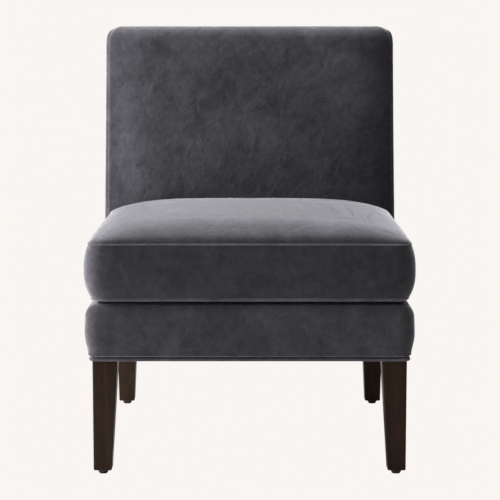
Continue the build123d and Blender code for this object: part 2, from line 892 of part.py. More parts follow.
with BuildPart() as cushion_wrap:
    add(padded_form(boxing_ribs(pad_inset) + crown_ribs(pad_inset)))
    add(
        cushion_block(
            cushion_bottom + pad_inset,
            boxing_bottom,
            cushion_side - bottom_panel_inset,
            bottom_panel_front,
            bottom_panel_rear,
        )
    )
    add(
        cushion_block(
            core_bottom - soft_gap,
            boxing_top + soft_gap,
            cushion_side - core_inset + soft_gap,
            core_front - soft_gap,
            core_rear + soft_gap,
        ),
        mode=Mode.SUBTRACT,
    )
save(cushion_wrap, "cushion_wrap")

with BuildPart() as cushion_top_welt:
    add(
        welt(
            top_welt_height,
            cushion_side - cushion_top_tuck,
            front + cushion_top_tuck,
            cushion_rear_y(top_welt_height),
            cushion_corner_radius - cushion_top_tuck,
            top_welt_radius,
        )
    )
save(cushion_top_welt, "cushion_top_welt")

with BuildPart() as cushion_bottom_welt:
    bottom_welt_inset = cushion_foot_tuck + bottom_welt_radius
    add(
        welt(
            bottom_welt_height,
            cushion_side - bottom_welt_inset,
            front + bottom_welt_inset,
            cushion_rear_y(cushion_bottom) - bottom_welt_radius,
            cushion_corner_radius - bottom_welt_inset,
            bottom_welt_radius,
        )
    )
save(cushion_bottom_welt, "cushion_bottom_welt")

with BuildPart() as cushion_top_panel:
    add(padded_form(crown_ribs(0)))
    add(padded_form(crown_ribs(cover_thickness)), mode=Mode.SUBTRACT)
save(cushion_top_panel, "cushion_top_panel")

with BuildPart() as cushion_bottom_panel:
    add(
        cushion_block(
            cushion_bottom,
            cushion_bottom + cover_thickness,
            cushion_side - bottom_panel_inset,
            bottom_panel_front,
            bottom_panel_rear,
        )
    )
save(cushion_bottom_panel, "cushion_bottom_panel")

# The zipper lies in a shallow pocket in the rear boxing, on a plane that leans with the back
zipper_height = (boxing_bottom + boxing_top) / 2
zipper_length = 2 * (cushion_side - zipper_end_margin)
zipper_plane = Plane(
    origin=(0, cushion_rear_y(zipper_height), zipper_height),
    x_dir=(1, 0, 0),
    z_dir=(0, cos(radians(back_rake)), -sin(radians(back_rake))),
)
with BuildPart() as cushion_boxing_band:
    add(padded_form(boxing_ribs(0)))
    add(padded_form(boxing_ribs(cover_thickness)), mode=Mode.SUBTRACT)
    with BuildSketch(zipper_plane.offset(-zipper_tape_thickness)):
        Rectangle(zipper_length + 2 * hole_gap, zipper_tape_width + 2 * hole_gap)
    extrude(amount=2 * zipper_tape_thickness, mode=Mode.SUBTRACT)
save(cushion_boxing_band, "cushion_boxing")

with BuildPart() as zipper:
    with BuildSketch(zipper_plane.offset(-zipper_tape_thickness)):
        Rectangle(zipper_length, zipper_tape_width)
    extrude(amount=zipper_tape_thickness)
    with BuildSketch(zipper_plane):
        Rectangle(zipper_length, zipper_chain_width)
    extrude(amount=zipper_chain_height)
save(zipper, "zipper")

# The slider straddles the chain at the zipper's closed end and carries a small pull
slider_x = zipper_length / 2 - slider_length
with BuildPart() as zipper_slider:
    with BuildSketch(zipper_plane.offset(hole_gap)):
        with Locations((slider_x, 0)):
            Rectangle(slider_length, slider_width)
    extrude(amount=slider_height)
    with BuildSketch(zipper_plane):
        with Locations((slider_x, 0)):
            Rectangle(slider_length, zipper_chain_width + 2 * hole_gap)
    extrude(amount=zipper_chain_height + hole_gap, mode=Mode.SUBTRACT)
    with BuildSketch(zipper_plane.offset(hole_gap + slider_height)):
        with Locations((slider_x, pull_length / 2)):
            Rectangle(pull_width, pull_length)
    extrude(amount=pull_thickness)
save(zipper_slider, "zipper_slider")
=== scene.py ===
from math import asin, cos, exp, pi, radians, sin, sqrt, tan, tanh

import bmesh
import bpy
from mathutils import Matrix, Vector
from mathutils.kdtree import KDTree


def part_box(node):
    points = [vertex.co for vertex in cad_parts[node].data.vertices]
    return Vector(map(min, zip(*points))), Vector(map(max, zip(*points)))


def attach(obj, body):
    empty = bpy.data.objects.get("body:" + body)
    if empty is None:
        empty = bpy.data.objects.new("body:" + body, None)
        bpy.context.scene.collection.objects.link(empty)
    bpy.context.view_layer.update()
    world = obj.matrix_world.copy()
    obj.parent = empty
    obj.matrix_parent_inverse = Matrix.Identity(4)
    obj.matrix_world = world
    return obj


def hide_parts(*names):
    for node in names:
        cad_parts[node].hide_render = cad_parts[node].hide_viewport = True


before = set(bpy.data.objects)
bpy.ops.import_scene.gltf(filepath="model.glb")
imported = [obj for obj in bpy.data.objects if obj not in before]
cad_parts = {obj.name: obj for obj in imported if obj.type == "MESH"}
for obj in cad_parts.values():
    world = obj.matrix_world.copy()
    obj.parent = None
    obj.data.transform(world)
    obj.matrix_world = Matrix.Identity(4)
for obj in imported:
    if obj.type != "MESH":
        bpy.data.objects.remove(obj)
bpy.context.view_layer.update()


# Seat and back frame: rails, posts and corner blocks, sawn from a pale hardwood and left unfinished.
# The rails are butted and glued, and screwed through corner blocks. The grain runs along each board.
frame_wood_light = (0.52, 0.36, 0.21, 1)
frame_wood_dark = (0.33, 0.20, 0.10, 1)
quarter_turn = radians(90)


def new_material(name, roughness):
    """A material with one shader, which every finish below starts from."""
    material = bpy.data.materials.new(name)
    material.use_nodes = True
    shader = material.node_tree.nodes["Principled BSDF"]
    shader.inputs["Roughness"].default_value = roughness
    return material, material.node_tree, shader


def add_node(tree, kind, settings=None, **inputs):
    """One node, with its settings and its input values or links.
    In an input's name _ stands for a space, and _ with a number for the input in that place."""
    node = tree.nodes.new(kind)
    for name, value in (settings or {}).items():
        setattr(node, name, value)
    for name, value in inputs.items():
        key = int(name[1:]) if name[1:].isdigit() else name.replace("_", " ")
        socket = node.inputs[key]
        if isinstance(value, bpy.types.NodeSocket):
            tree.links.new(value, socket)
        else:
            socket.default_value = value
    return node


def new_group(name, takes, gives):
    """A shader node group with named inputs and outputs."""
    group = bpy.data.node_groups.new(name, "ShaderNodeTree")
    for label, kind, value in takes:
        socket = group.interface.new_socket(label, in_out="INPUT", socket_type=kind)
        if value is not None:
            socket.default_value = value
    for label, kind in gives:
        group.interface.new_socket(label, in_out="OUTPUT", socket_type=kind)
    inside = group.nodes.new("NodeGroupInput")
    outside = group.nodes.new("NodeGroupOutput")
    return group, inside.outputs, outside.inputs


def place_group(tree, group, **inputs):
    return add_node(tree, "ShaderNodeGroup", {"node_tree": group}, **inputs)


def own_place(tree):
    """The piece's own coordinates, in metres."""
    return add_node(tree, "ShaderNodeTexCoord").outputs["Object"]


def mapped(tree, place, stretch, turn=(0, 0, 0)):
    """Coordinates turned and stretched."""
    return add_node(tree, "ShaderNodeMapping", Vector=place, Rotation=turn, Scale=stretch).outputs["Vector"]


def surface_coordinates(tree, turn=(0, 0, 0), stretch=(1, 1, 1)):
    return mapped(tree, own_place(tree), stretch, turn)


def noise(tree, place, scale, detail, distortion=0):
    """Cloudy unevenness over a surface, from 0 to 1."""
    clouds = add_node(tree, "ShaderNodeTexNoise", Vector=place, Scale=scale, Detail=detail,
                      Distortion=distortion)
    return clouds.outputs["Fac"]


def calculate(tree, operation, *values, clamped=False):
    """Arithmetic on numbers or links."""
    inputs = {f"_{place}": value for place, value in enumerate(values)}
    sum_node = add_node(tree, "ShaderNodeMath", {"operation": operation, "use_clamp": clamped}, **inputs)
    return sum_node.outputs[0]


def spread(tree, value, low=0, high=1, to_low=0, to_high=1, kind="LINEAR"):
    """Spreads the values between low and high over another range."""
    ranged = add_node(tree, "ShaderNodeMapRange", {"interpolation_type": kind}, Value=value,
                      From_Min=low, From_Max=high, To_Min=to_low, To_Max=to_high)
    return ranged.outputs["Result"]


def mix_colours(tree, share, first, second):
    mix = add_node(tree, "ShaderNodeMix", {"data_type": "RGBA"}, Factor=share, _6=first, _7=second)
    return mix.outputs[2]


def add_bump(tree, shader, height, strength, distance):
    bump = add_node(tree, "ShaderNodeBump", Height=height, Strength=strength, Distance=distance)
    tree.links.new(bump.outputs["Normal"], shader.inputs["Normal"])


def paint(material, *names):
    """Gives CAD nodes their finish."""
    for name in names:
        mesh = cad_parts[name].data
        mesh.materials.clear()
        mesh.materials.append(material)


# Wood grain: long growth bands along local Z, finer streaks and short dark pores
grain_length = 0.07
streak_share = 0.45
wood_grain, taken, given = new_group(
    "wood grain",
    [("Vector", "NodeSocketVector", None), ("Light", "NodeSocketColor", frame_wood_light),
     ("Dark", "NodeSocketColor", frame_wood_dark), ("Pore depth", "NodeSocketFloat", 0.5)],
    [("Colour", "NodeSocketColor"), ("Streaks", "NodeSocketFloat"), ("Height", "NodeSocketFloat")])
along_grain = mapped(wood_grain, taken["Vector"], (1, 1, grain_length))
bands = noise(wood_grain, along_grain, scale=60, detail=4, distortion=0.8)
streaks = noise(wood_grain, along_grain, scale=420, detail=3)
pores = noise(wood_grain, along_grain, scale=1500, detail=1)
figure = calculate(wood_grain, "MULTIPLY_ADD", streaks, streak_share, bands)
figure = spread(wood_grain, figure, low=0.5, high=0.95)
pore_marks = spread(wood_grain, pores, low=0.56, high=0.72)
pore_marks = calculate(wood_grain, "MULTIPLY", pore_marks, taken["Pore depth"])
wood_tone = calculate(wood_grain, "SUBTRACT", figure, pore_marks, clamped=True)
wood_grain.links.new(mix_colours(wood_grain, wood_tone, taken["Dark"], taken["Light"]), given["Colour"])
wood_grain.links.new(streaks, given["Streaks"])
wood_grain.links.new(wood_tone, given["Height"])


def frame_wood(name, turn):
    material, tree, shader = new_material(name, roughness=0.62)
    grain = place_group(tree, wood_grain, Vector=surface_coordinates(tree, turn), Pore_depth=0.3)
    tree.links.new(grain.outputs["Colour"], shader.inputs["Base Color"])
    add_bump(tree, shader, grain.outputs["Height"], strength=0.35, distance=0.0003)
    return material


paint(frame_wood("frame_wood_across", (0, quarter_turn, 0)),
      "front_rail", "back_rail", "top_back_rail", "lower_back_rail")
paint(frame_wood("frame_wood_lengthwise", (quarter_turn, 0, 0)), "left_side_rail", "right_side_rail")
paint(frame_wood("frame_wood_upright", (0, 0, 0)), "left_back_post", "right_back_post")
paint(frame_wood("corner_block_wood", (quarter_turn, 0, quarter_turn / 2)), "front_left_corner_block",
      "front_right_corner_block", "rear_left_corner_block", "rear_right_corner_block")


# Fixings: screws, hanger bolts with nuts and washers, glide nails and staples, of zinc plated steel.
# They hold the blocks, the legs, the glides and the dust cover. The plating is slightly mottled.
zinc_dark = (0.42, 0.43, 0.46, 1)
zinc_light = (0.70, 0.70, 0.68, 1)


def two_tone(tree, shader, mask, dark, light):
    """Colours a finish between two tones."""
    tree.links.new(mix_colours(tree, mask, dark, light), shader.inputs["Base Color"])


def uneven_roughness(tree, shader, mask, least, most):
    tree.links.new(spread(tree, mask, to_low=least, to_high=most), shader.inputs["Roughness"])


zinc, zinc_tree, zinc_shader = new_material("zinc_plated_steel", roughness=0.34)
zinc_shader.inputs["Metallic"].default_value = 1
zinc_mottle = noise(zinc_tree, surface_coordinates(zinc_tree), scale=350, detail=4)
two_tone(zinc_tree, zinc_shader, zinc_mottle, zinc_dark, zinc_light)
uneven_roughness(zinc_tree, zinc_shader, zinc_mottle, least=0.26, most=0.46)
paint(zinc, "corner_block_screws", "back_frame_screws", "leg_bolts", "leg_washers", "leg_nuts", "glide_nails",
      "dust_cover_staples")


# Suspension: elastic straps over the seat and behind the back foam, woven over and under each other.
# They are stretched and stapled to the rails. In each strap dark yarns cross pale ones in a plain weave.
strap_yarn = 0.0016
strap_dark = (0.028, 0.027, 0.03, 1)
strap_pale = (0.30, 0.27, 0.22, 1)

# Plain weave: two sets of yarns that pass over each other, seen along local Z
plain_weave, taken, given = new_group(
    "plain weave",
    [("Vector", "NodeSocketVector", None), ("Yarn", "NodeSocketFloat", strap_yarn),
     ("Warp", "NodeSocketColor", strap_dark), ("Weft", "NodeSocketColor", strap_pale)],
    [("Colour", "NodeSocketColor"), ("Height", "NodeSocketFloat")])
weave_place = add_node(plain_weave, "ShaderNodeSeparateXYZ", Vector=taken["Vector"])


def yarn_wave(axis):
    turns = calculate(plain_weave, "DIVIDE", weave_place.outputs[axis], taken["Yarn"])
    return calculate(plain_weave, "SINE", calculate(plain_weave, "MULTIPLY", turns, pi))


crossing = calculate(plain_weave, "MULTIPLY", yarn_wave("X"), yarn_wave("Y"))
weft_over = spread(plain_weave, crossing, low=-0.25, high=0.25)
plain_weave.links.new(mix_colours(plain_weave, weft_over, taken["Warp"], taken["Weft"]), given["Colour"])
plain_weave.links.new(calculate(plain_weave, "ABSOLUTE", crossing), given["Height"])


def woven_cloth(name, yarn, warp, weft, turn=(0, 0, 0)):
    material, tree, shader = new_material(name, roughness=0.9)
    shader.inputs["Specular IOR Level"].default_value = 0.2
    place = surface_coordinates(tree, turn)
    weave = place_group(tree, plain_weave, Vector=place, Yarn=yarn, Warp=warp, Weft=weft)
    tree.links.new(weave.outputs["Colour"], shader.inputs["Base Color"])
    add_bump(tree, shader, weave.outputs["Height"], strength=0.6, distance=yarn / 3)
    return material


paint(woven_cloth("seat_strap_cloth", strap_yarn, strap_dark, strap_pale),
      "seat_webbing_lengthwise", "seat_webbing_crosswise")
paint(woven_cloth("back_strap_cloth", strap_yarn, strap_dark, strap_pale, turn=(quarter_turn, 0, 0)),
      "back_webbing_upright", "back_webbing_crosswise")


# Tack strip: a band of grey card that holds the top edge of the outside back, stapled to the top rail.
# The card is pressed from short fibres, which show as fine flecks.
card_dark = (0.16, 0.14, 0.12, 1)
card_light = (0.46, 0.42, 0.36, 1)
card, card_tree, card_shader = new_material("pressed_card", roughness=0.9)
card_flecks = noise(card_tree, surface_coordinates(card_tree, stretch=(0.3, 1, 1)), scale=900, detail=3)
two_tone(card_tree, card_shader, card_flecks, card_dark, card_light)
paint(card, "tack_strip")


# Legs: four tapered legs of solid wood, stained to a dark espresso brown with a satin lacquer.
# The rear pair rakes backwards. Each is bolted up into its corner block.
leg_light = (0.034, 0.0165, 0.0080, 1)
leg_dark = (0.012, 0.0054, 0.0022, 1)
leg_wood, leg_tree, leg_shader = new_material("espresso_stained_wood", roughness=0.42)
leg_grain = place_group(leg_tree, wood_grain, Vector=surface_coordinates(leg_tree),
                        Light=leg_light, Dark=leg_dark, Pore_depth=0.6)
leg_tree.links.new(leg_grain.outputs["Colour"], leg_shader.inputs["Base Color"])
uneven_roughness(leg_tree, leg_shader, leg_grain.outputs["Streaks"], least=0.36, most=0.56)
add_bump(leg_tree, leg_shader, leg_grain.outputs["Height"], strength=0.25, distance=0.0002)
leg_shader.inputs["Specular IOR Level"].default_value = 0.12
leg_shader.inputs["Coat Weight"].default_value = 0.03
leg_shader.inputs["Coat Roughness"].default_value = 0.32
paint(leg_wood, "front_left_leg", "front_right_leg", "rear_left_leg", "rear_right_leg")


# Glides: a round foot of dark moulded plastic under each leg, held by a nail through its middle.
# Moulding leaves a fine grain, and the floor scuffs the foot.
glide_dark = (0.012, 0.010, 0.008, 1)
glide_scuffed = (0.034, 0.029, 0.025, 1)
glide_plastic, glide_tree, glide_shader = new_material("moulded_plastic", roughness=0.5)
glide_grain = noise(glide_tree, surface_coordinates(glide_tree), scale=1800, detail=2)
glide_scuff = noise(glide_tree, surface_coordinates(glide_tree, stretch=(1, 0.2, 1)), scale=700, detail=5)
two_tone(glide_tree, glide_shader, glide_scuff, glide_dark, glide_scuffed)
uneven_roughness(glide_tree, glide_shader, glide_scuff, least=0.4, most=0.7)
add_bump(glide_tree, glide_shader, glide_grain, strength=0.3, distance=0.0001)
paint(glide_plastic, "front_left_glide", "front_right_glide", "rear_left_glide", "rear_right_glide")


# Dust cover: a black cloth of pressed fibres under the seat, stapled all round to the rails.
# It isn't woven: its fibres lie every way, and a fine dot pattern bonds them.
dust_dark = (0.006, 0.006, 0.007, 1)
dust_light = (0.030, 0.030, 0.033, 1)
dust_cloth, dust_tree, dust_shader = new_material("dust_cover_cloth", roughness=0.95)
dust_fibres = noise(dust_tree, surface_coordinates(dust_tree), scale=1100, detail=4, distortion=2)
dust_bonds = add_node(dust_tree, "ShaderNodeTexVoronoi", Vector=surface_coordinates(dust_tree), Scale=420,
                      Randomness=0.15)
two_tone(dust_tree, dust_shader, dust_fibres, dust_dark, dust_light)
add_bump(dust_tree, dust_shader, dust_bonds.outputs["Distance"], strength=0.5, distance=0.0004)
paint(dust_cloth, "dust_cover")


# Seat base: charcoal velvet over a thin pad, pulled round the rails of the seat frame and stapled under them.
# Its belly is soft, its top edge rolls in under the cushion, and a sewn welt runs round its bottom edge.
base_low, base_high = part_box("base_cover")
base_half = base_high.x
base_corner, base_least_corner = 0.030, 0.004
base_side_steps, base_corner_steps = 92, 10
base_foot_tuck = 0.0055
base_belly, base_belly_lift, base_belly_steps = 0.001, 0.003, 14
base_shoulder, base_shoulder_inset, base_shoulder_drop = 0.026, 0.023, 0.0055
base_shoulder_steps = 10
base_lining_inset = 0.034
base_held_rows = 6
base_slack = 0.0015

# Take-in and rise from the hem: first of the fold behind the welt, then of the edge, past the foot's tuck
base_hem_drop = 0.0005
base_hem_fold = ((0.0175, -0.0056), (0.0122, -0.0060), (0.0114, -0.0030))
base_hem_edge = ((0.0032, -0.0002), (0, 0), (-0.0008, 0.0012))
# Take-in and drop from the top of the cover's inner edge, which is turned down beside the deck
base_inner_edge = ((base_shoulder_inset + 0.002, 0.001), (base_shoulder_inset + 0.004, 0.0005),
                   (base_lining_inset, 0.0005), (base_lining_inset, 0.006))

base_welt_radius, base_welt_take_in, base_welt_drop = 0.0031, 0.0105, 0.0071
base_welt_side_steps, base_welt_corner_steps = 60, 12
welt_sides = 10

velvet_dark = (0.0125, 0.0118, 0.0145, 1)
velvet_light = (0.047, 0.0455, 0.053, 1)
velvet_sheen = (0.86, 0.85, 0.92, 1)

# Velvet nap: patches, brushed marks and tufts where the pile leans another way, and the pile's fine rows.
# Each has its part in the tone; the marks, the tufts and the rows also have one in the height.
patch_part, brushed_part, tuft_part, row_part = 0.5, 0.3, 0.35, 0.14
brushed_height, tuft_height = 7, 1.8
row_scale, row_stretch = 330, 0.4
velvet_nap, taken, given = new_group(
    "velvet nap",
    [("Vector", "NodeSocketVector", None), ("Dark", "NodeSocketColor", velvet_dark),
     ("Light", "NodeSocketColor", velvet_light)],
    [("Colour", "NodeSocketColor"), ("Roughness", "NodeSocketFloat"), ("Height", "NodeSocketFloat")])
patches = noise(velvet_nap, taken["Vector"], scale=9, detail=4, distortion=0.7)
brushed = noise(velvet_nap, taken["Vector"], scale=24, detail=2, distortion=0.5)
tufts = noise(velvet_nap, taken["Vector"], scale=70, detail=4, distortion=0.4)
across_rows = mapped(velvet_nap, taken["Vector"], (row_stretch, 1, 1))
upright_rows = mapped(velvet_nap, taken["Vector"], (1, row_stretch, row_stretch))
pile_rows = calculate(velvet_nap, "ADD", noise(velvet_nap, across_rows, row_scale, detail=2),
                      noise(velvet_nap, upright_rows, row_scale, detail=2))
lean = calculate(velvet_nap, "MULTIPLY", patches, patch_part)
lean = calculate(velvet_nap, "MULTIPLY_ADD", brushed, brushed_part, lean)
lean = calculate(velvet_nap, "MULTIPLY_ADD", tufts, tuft_part, lean)
lean = calculate(velvet_nap, "MULTIPLY_ADD", pile_rows, row_part, lean)
lean = spread(velvet_nap, lean, low=0.46, high=0.97)
nap_height = calculate(velvet_nap, "MULTIPLY_ADD", tufts, tuft_height, pile_rows)
nap_height = calculate(velvet_nap, "MULTIPLY_ADD", brushed, brushed_height, nap_height)
velvet_nap.links.new(mix_colours(velvet_nap, lean, taken["Dark"], taken["Light"]), given["Colour"])
velvet_nap.links.new(spread(velvet_nap, lean, to_low=0.95, to_high=0.8), given["Roughness"])
velvet_nap.links.new(nap_height, given["Height"])


def velvet_material(name, lift=1, stretch=(1, 1, 1), painted_light_along_x=(), painted_highlight=None):
    """Velvet with the nap's random tone. Lift scales its colour to a lighter or darker copy: painted light or
    shade.
    Painted light and shade along X: each stretch holds its ends and the tones there, above 1 lighter, below 1
    darker.
    A painted highlight, lighter round a place, holds that place, its reach and its tone."""
    material, tree, shader = new_material(name, roughness=0.9)
    dark = (*(lift * part for part in velvet_dark[:3]), 1)
    light = (*(lift * part for part in velvet_light[:3]), 1)
    place = surface_coordinates(tree, stretch=stretch)
    nap = place_group(tree, velvet_nap, Vector=place, Dark=dark, Light=light)
    tones = []
    # Painted light and shade: the tone changes along X, where the lamps on the left fall
    for start, end, start_tone, end_tone in painted_light_along_x:
        x = add_node(tree, "ShaderNodeSeparateXYZ", Vector=own_place(tree)).outputs["X"]
        tones.append(spread(tree, x, start, end, start_tone, end_tone, kind="SMOOTHSTEP"))
    # Painted highlight: a lighter patch round a place, standing in for sheen
    if painted_highlight:
        middle, reach, highlight_tone = painted_highlight
        place = own_place(tree)
        away = add_node(tree, "ShaderNodeVectorMath", {"operation": "SUBTRACT"}, _0=place, _1=middle)
        away = add_node(tree, "ShaderNodeVectorMath", {"operation": "DIVIDE"}, _0=away.outputs[0], _1=reach)
        away = add_node(tree, "ShaderNodeVectorMath", {"operation": "LENGTH"}, _0=away.outputs[0])
        tones.append(spread(tree, away.outputs["Value"], to_low=highlight_tone, to_high=1, kind="SMOOTHSTEP"))
    colour = nap.outputs["Colour"]
    for tone in tones:
        toned = add_node(tree, "ShaderNodeVectorMath", {"operation": "SCALE"}, _0=colour, Scale=tone)
        colour = toned.outputs[0]
    tree.links.new(colour, shader.inputs["Base Color"])
    tree.links.new(nap.outputs["Roughness"], shader.inputs["Roughness"])
    add_bump(tree, shader, nap.outputs["Height"], strength=0.6, distance=0.0008)
    shader.inputs["Specular IOR Level"].default_value = 0.15
    shader.inputs["Sheen Weight"].default_value = 1
    shader.inputs["Sheen Roughness"].default_value = 0.38
    shader.inputs["Sheen Tint"].default_value = velvet_sheen
    return material


# Painted light: the base is a lighter copy of the velvet, and painted darker towards its right end, a painted
# shade
base_velvet = velvet_material("charcoal_velvet_base", lift=1.45, painted_light_along_x=[(0.26, 0.30, 1, 0.6)])
# Painted highlight: the welts are a much lighter copy of the velvet, as if lit
welt_velvet = velvet_material("charcoal_velvet_welt", lift=2.5)


def eased(share, gather=0.6):
    """A place from 0 to 1 that gathers points towards both ends."""
    return (1 - gather) * share + gather * (1 - cos(pi * share)) / 2


def plan_outline(half, y_front, y_rear, corner, across, along_side, round_corner):
    """Points round a rounded rectangle, from the middle of its front left corner and counter-clockwise.
    The four sides meet at the middles of the corners, so each has its own count of steps."""
    points = []
    runs = [((-half + corner, y_front), (half - corner, y_front), across, -90),
            ((half, y_front + corner), (half, y_rear - corner), along_side, 0),
            ((half - corner, y_rear), (-half + corner, y_rear), across, 90),
            ((-half, y_rear - corner), (-half, y_front + corner), along_side, 180)]
    centres = [(half - corner, y_front + corner), (half - corner, y_rear - corner),
               (-half + corner, y_rear - corner), (-half + corner, y_front + corner)]
    for (start, end, count, facing), centre in zip(runs, centres):
        for step in range(count):
            share = eased(step / count)
            points.append((start[0] + (end[0] - start[0]) * share, start[1] + (end[1] - start[1]) * share))
        for step in range(round_corner):
            angle = radians(facing + 90 * step / round_corner)
            points.append((centre[0] + corner * cos(angle), centre[1] + corner * sin(angle)))
    middle = round_corner // 2
    return points[-middle:] + points[:-middle]


def new_piece(name, points, faces, material):
    """A mesh piece from points and faces, with doubled points joined and its outsides facing out."""
    joining_distance = 0.00002
    mesh = bpy.data.meshes.new(name)
    mesh.from_pydata(points, [], faces)
    shape = bmesh.new()
    shape.from_mesh(mesh)
    bmesh.ops.remove_doubles(shape, verts=shape.verts, dist=joining_distance)
    bmesh.ops.recalc_face_normals(shape, faces=shape.faces)
    for face in shape.faces:
        face.smooth = True
    shape.to_mesh(mesh)
    shape.free()
    mesh.materials.append(material)
    piece = bpy.data.objects.new(name, mesh)
    bpy.context.scene.collection.objects.link(piece)
    return piece


def ring_faces(rows, length):
    """The faces between closed rows of equal length."""
    faces = []
    for row in range(rows - 1):
        for step in range(length):
            next_step = (step + 1) % length
            low, high = row * length, (row + 1) * length
            faces.append((low + step, low + next_step, high + next_step, high + step))
    return faces


def grid_faces(rows, columns, first=0):
    """The faces of a grid of points, row by row."""
    faces = []
    for row in range(rows - 1):
        for column in range(columns - 1):
            corner = first + row * columns + column
            faces.append((corner, corner + 1, corner + columns + 1, corner + columns))
    return faces


def welt_cord(name, path, radius):
    """A closed cord covered with velvet, swept along a path."""
    curve = bpy.data.curves.new(name + "_path", "CURVE")
    curve.dimensions = "3D"
    curve.bevel_depth = radius
    curve.bevel_resolution = welt_sides // 2 - 1
    spline = curve.splines.new("POLY")
    spline.points.add(len(path) - 1)
    for point, place in zip(spline.points, path):
        point.co = (*place, 1)
    spline.use_cyclic_u = True
    drawn = bpy.data.objects.new(name + "_path", curve)
    bpy.context.scene.collection.objects.link(drawn)
    bpy.context.view_layer.update()
    mesh = bpy.data.meshes.new_from_object(drawn.evaluated_get(bpy.context.evaluated_depsgraph_get()))
    mesh.name = name
    bpy.data.objects.remove(drawn)
    bpy.data.curves.remove(curve)
    mesh.polygons.foreach_set("use_smooth", [True] * len(mesh.polygons))
    mesh.materials.clear()
    mesh.materials.append(welt_velvet)
    piece = bpy.data.objects.new(name, mesh)
    bpy.context.scene.collection.objects.link(piece)
    return piece


def smooth_over(piece):
    """Subdivides a piece's surface once its shape is settled."""
    rounding = piece.modifiers.new("rounding", "SUBSURF")
    rounding.levels = 1
    rounding.render_levels = 1


# How a cover swells: the air in it, its weight, how much its cloth gives, and for how long
swell_pressure, swell_mass, swell_give, swell_frames = 4, 0.2, 0.008, 20
# The most that it may stand out or fall in afterwards, and slide along itself, as shares of its slack
most_out, most_in, most_slide = 0.7, 0.35, 0.25


def swell(piece, held_points, slack):
    """Lets air pressure swell a cover between its held seams, and keeps the swollen shape.
    The cover starts drawn in by the slack. Its filling then keeps it from falling in, and lets it stand
    only a little prouder."""
    held_reach = 0.0003
    held = KDTree(len(held_points))
    for place, point in enumerate(held_points):
        held.insert(point, place)
    held.balance()
    vertices = piece.data.vertices
    outward = [vertex.normal.copy() for vertex in vertices]
    to_held = [held.find(vertex.co)[2] for vertex in vertices]
    drawn_in = [slack * (1 - exp(-gap / (3 * slack))) for gap in to_held]
    for vertex, normal, depth in zip(vertices, outward, drawn_in):
        vertex.co -= depth * normal
    group = piece.vertex_groups.new(name="held")
    group.add([vertex.index for vertex, gap in zip(vertices, to_held) if gap < held_reach], 1, "REPLACE")
    cloth = piece.modifiers.new("swelling", "CLOTH")
    cloth.settings.quality = 6
    cloth.settings.mass = swell_mass
    cloth.settings.shrink_min = -swell_give
    cloth.settings.use_pressure = True
    cloth.settings.uniform_pressure_force = swell_pressure
    cloth.settings.vertex_group_mass = group.name
    cloth.settings.effector_weights.gravity = 0
    cloth.collision_settings.use_collision = False
    for step in range(swell_frames):
        bpy.context.scene.frame_set(step + 1)
    swollen = piece.evaluated_get(bpy.context.evaluated_depsgraph_get()).data
    moves = [after.co - before.co for after, before in zip(swollen.vertices, vertices)]
    piece.modifiers.remove(cloth)
    piece.vertex_groups.remove(group)
    for vertex, normal, depth, move in zip(vertices, outward, drawn_in, moves):
        out = move.dot(normal)
        most = (most_out if out > depth else most_in) * slack
        vertex.co += normal * (depth + most * tanh((out - depth) / (4 * slack)))
        slide = move - out * normal
        length = max(slide.length, 0.000001)
        vertex.co += slide * (most_slide * slack * tanh(slide.length / (most_slide * slack)) / length)
    bpy.context.scene.frame_set(1)


def base_section():
    """Take-in and height of the base cover, from under the rail, round the belly and over the shoulder."""
    hem = base_low.z - base_hem_drop
    section = [(take_in, hem + rise) for take_in, rise in base_hem_fold]
    section += [(base_foot_tuck + take_in, hem + rise) for take_in, rise in base_hem_edge]
    belly_start = hem + base_belly_lift
    shoulder_start = base_high.z - base_shoulder_drop - base_shoulder
    for step in range(1, base_belly_steps + 1):
        share = step / base_belly_steps
        tuck = base_foot_tuck * max(0, 1 - 2 * share) ** 1.5 - base_belly * sin(pi * share)
        section.append((tuck, belly_start + (shoulder_start - belly_start) * share))
    for step in range(1, base_shoulder_steps + 1):
        angle = quarter_turn * step / base_shoulder_steps
        section.append((base_shoulder_inset * (1 - cos(angle)), shoulder_start + base_shoulder * sin(angle)))
    section += [(take_in, base_high.z - drop) for take_in, drop in base_inner_edge]
    return section


base_points = []
for take_in, height in base_section():
    tightening = 2 if height < base_low.z else 1
    outline = plan_outline(base_half - take_in, base_low.y + take_in, base_high.y - take_in,
                           max(base_corner - tightening * take_in, base_least_corner),
                           base_side_steps, base_side_steps, base_corner_steps)
    base_points += [(x, y, height) for x, y in outline]
base_count = len(outline)
base_faces = ring_faces(len(base_points) // base_count, base_count)
base_held = base_points[:base_held_rows * base_count] + base_points[-base_held_rows * base_count:]
seat_base = new_piece("seat_base", base_points, base_faces, base_velvet)
swell(seat_base, base_held, base_slack)
smooth_over(seat_base)
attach(seat_base, "chair")
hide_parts("base_cover", "border_pad")

base_welt_line = plan_outline(
    base_half - base_welt_take_in, base_low.y + base_welt_take_in, base_high.y - base_welt_take_in,
    base_corner - 2 * base_welt_take_in, base_welt_side_steps, base_welt_side_steps, base_welt_corner_steps)
base_welt_path = [(x, y, base_low.z - base_welt_drop) for x, y in base_welt_line]
base_welt = welt_cord("base_bottom_welt", base_welt_path, base_welt_radius)
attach(base_welt, "chair")
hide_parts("base_welt")


